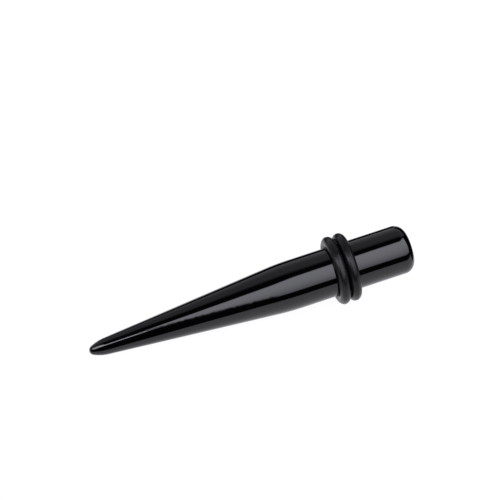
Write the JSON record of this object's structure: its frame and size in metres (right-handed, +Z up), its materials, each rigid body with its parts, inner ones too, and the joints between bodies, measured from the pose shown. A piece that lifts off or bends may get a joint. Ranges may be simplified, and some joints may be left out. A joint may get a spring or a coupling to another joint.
{
  "type": "ear stretching taper",
  "caption": "Straight gloss black ear stretching taper: a long cone with a rounded nose, a straight shank with a round-edged butt end, and rubber O-rings side by side on the shank.",
  "frame": {"origin": "on the surface that the part lies on, straight below the middle of its box", "axes": "+X along the part from its nose to its butt end, +Z up from the surface; the taper's middle line leans up by 6.4 degrees towards +X, as the part rests on its nose and its front O-ring"},
  "size_m": [0.0536, 0.0112, 0.0115],
  "materials": {
    "acrylic": "polished black acrylic",
    "rubber": "moulded black rubber, satin"
  },
  "bodies": {
    "root": {"taper": "acrylic", "o_ring_front": "rubber", "o_ring_rear": "rubber"}
  },
  "joints": []
}
